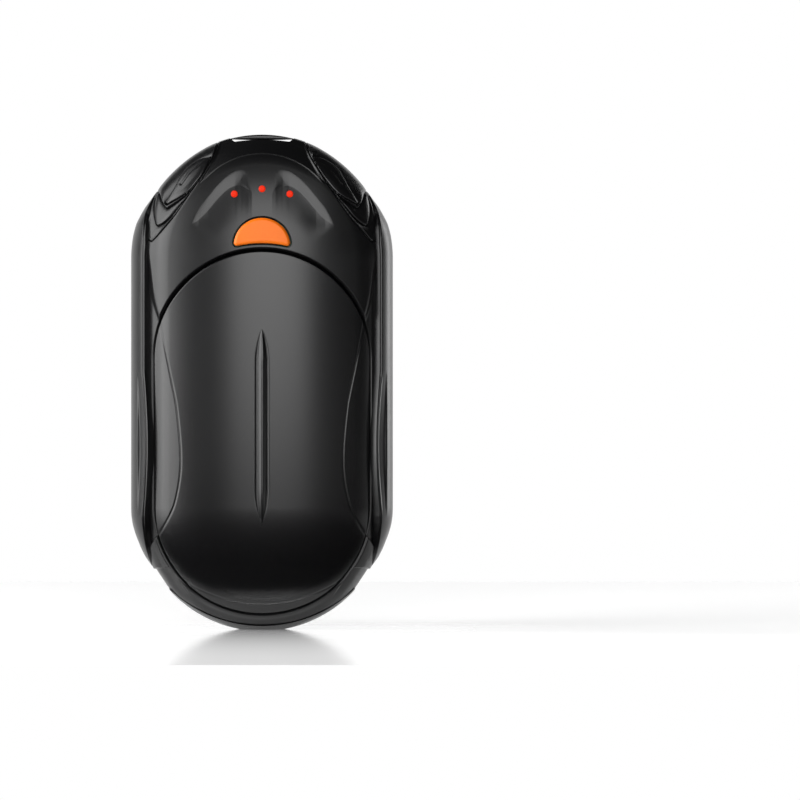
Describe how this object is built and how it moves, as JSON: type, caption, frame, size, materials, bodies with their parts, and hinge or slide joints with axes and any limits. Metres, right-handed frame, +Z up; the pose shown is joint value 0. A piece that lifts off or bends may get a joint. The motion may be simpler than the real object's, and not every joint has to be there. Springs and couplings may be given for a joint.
{
  "type": "rechargeable hand warmer",
  "caption": "Pebble-shaped rechargeable hand warmer with crowned heat panels, side grips, a lanyard bar, a press button, indicator lights and a swinging charging-port cover.",
  "frame": {"origin": "middle of the flat foot at the bottom end, under the case's centre line", "axes": "+X to the right seen from the front, +Y from the button face to the rear face, +Z up towards the lanyard bar"},
  "size_m": [0.0524, 0.0253, 0.0989],
  "materials": {
    "case_plastic": "satin black moulding",
    "grip_plastic": "satin black moulding",
    "panel_metal": "satin black coating",
    "button_plastic": "orange satin moulding",
    "light_plastic": "red clear moulding",
    "board_laminate": "green solder mask",
    "switch_plastic": "moulded",
    "led_body": "moulded",
    "screw_steel": "zinc plated",
    "socket_steel": "drawn, nickel plated",
    "cell_pouch": "foil pouch",
    "cell_tape": "tape",
    "frame_plastic": "moulded",
    "lead_red": "insulation",
    "lead_black": "insulation",
    "film": "amber film",
    "foam": "closed-cell foam",
    "seal_rubber": "moulded"
  },
  "bodies": {
    "case": {"front_shell": "case_plastic", "rear_shell": "case_plastic", "left_side_grip": "grip_plastic", "right_side_grip": "grip_plastic", "lanyard_bar": "case_plastic", "tact_switch": "switch_plastic", "led_left": "led_body", "led_centre": "led_body", "led_right": "led_body", "light_pipe_left": "light_plastic", "light_pipe_centre": "light_plastic", "light_pipe_right": "light_plastic", "board_screws": "screw_steel", "main_board": "board_laminate", "port_board": "board_laminate", "usb_socket": "socket_steel", "front_cell": "cell_pouch", "rear_cell": "cell_pouch", "cell_tape": "cell_tape", "case_screws": "screw_steel", "cell_frame": "frame_plastic", "positive_lead": "lead_red", "negative_lead": "lead_black", "charge_lead_left": "lead_red", "charge_lead_right": "lead_black", "thermistor": "switch_plastic", "front_heat_panel": "panel_metal", "front_heater_film": "film", "front_foam_pad": "foam", "rear_heat_panel": "panel_metal", "rear_heater_film": "film", "rear_foam_pad": "foam", "case_seal": "seal_rubber"},
    "power_button": {"power_button": "button_plastic", "switch_plunger": "switch_plastic"},
    "port_cover": {"port_cover": "case_plastic"}
  },
  "joints": [
    {"name": "power_button_press", "type": "slide", "parent": "case", "child": "power_button", "axis": [0, 1, 0], "range_m": [0, 0.0005], "stiffness_N_per_m": 400},
    {"name": "port_cover_swing", "type": "hinge", "parent": "case", "child": "port_cover", "pos_m": [-0.01791, 0, 0.0081], "axis": [0, 1, 0], "range_deg": [0, 100]}
  ]
}
